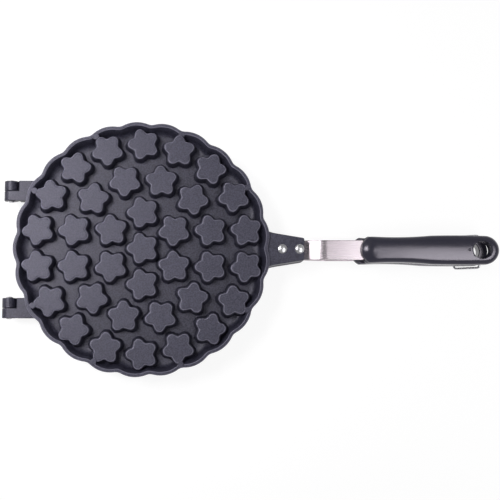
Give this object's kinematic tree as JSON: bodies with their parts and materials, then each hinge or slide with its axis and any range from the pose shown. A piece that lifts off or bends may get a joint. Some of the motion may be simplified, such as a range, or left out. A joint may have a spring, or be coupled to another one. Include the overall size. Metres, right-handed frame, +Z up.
{
  "type": "star waffle pan",
  "caption": "Two-half hinged cast pan with star moulds and long handles, for baking egg waffle sheets over a hob, with a wire latch.",
  "frame": {"origin": "centre of the round pan on the hob plane, on the lower half's centre star", "axes": "+X from the pan's centre along the handles, +Z up, hinge pins along Y"},
  "size_m": [0.4003, 0.2036, 0.033],
  "materials": {
    "coated_casting": "satin dark non-stick coating",
    "stainless_strap": "brushed",
    "bright_rivet": "bright",
    "moulded_grip": "gloss",
    "steel_fastener": "plain",
    "steel_wire": "bright"
  },
  "bodies": {
    "lower": {"lower_plate": "coated_casting", "lower_strap": "stainless_strap", "lower_rivet_front": "bright_rivet", "lower_rivet_rear": "bright_rivet", "lower_handle": "moulded_grip", "lower_handle_screw": "steel_fastener", "hinge_pin_far": "steel_fastener", "hinge_pin_near": "steel_fastener"},
    "upper": {"upper_plate": "coated_casting", "upper_strap": "stainless_strap", "upper_rivet_front": "bright_rivet", "upper_rivet_rear": "bright_rivet", "upper_handle": "moulded_grip", "upper_handle_screw": "steel_fastener"},
    "latch": {"latch_bail": "steel_wire"}
  },
  "joints": [
    {"name": "lid_hinge", "type": "hinge", "parent": "lower", "child": "upper", "pos_m": [-0.1061, 0, 0.0165], "axis": [0, -1, 0], "range_deg": [0, 180]},
    {"name": "latch_swing", "type": "hinge", "parent": "lower", "child": "latch", "pos_m": [0.276, 0, 0.0125], "axis": [0, -1, 0], "range_deg": [0, 268]}
  ]
}
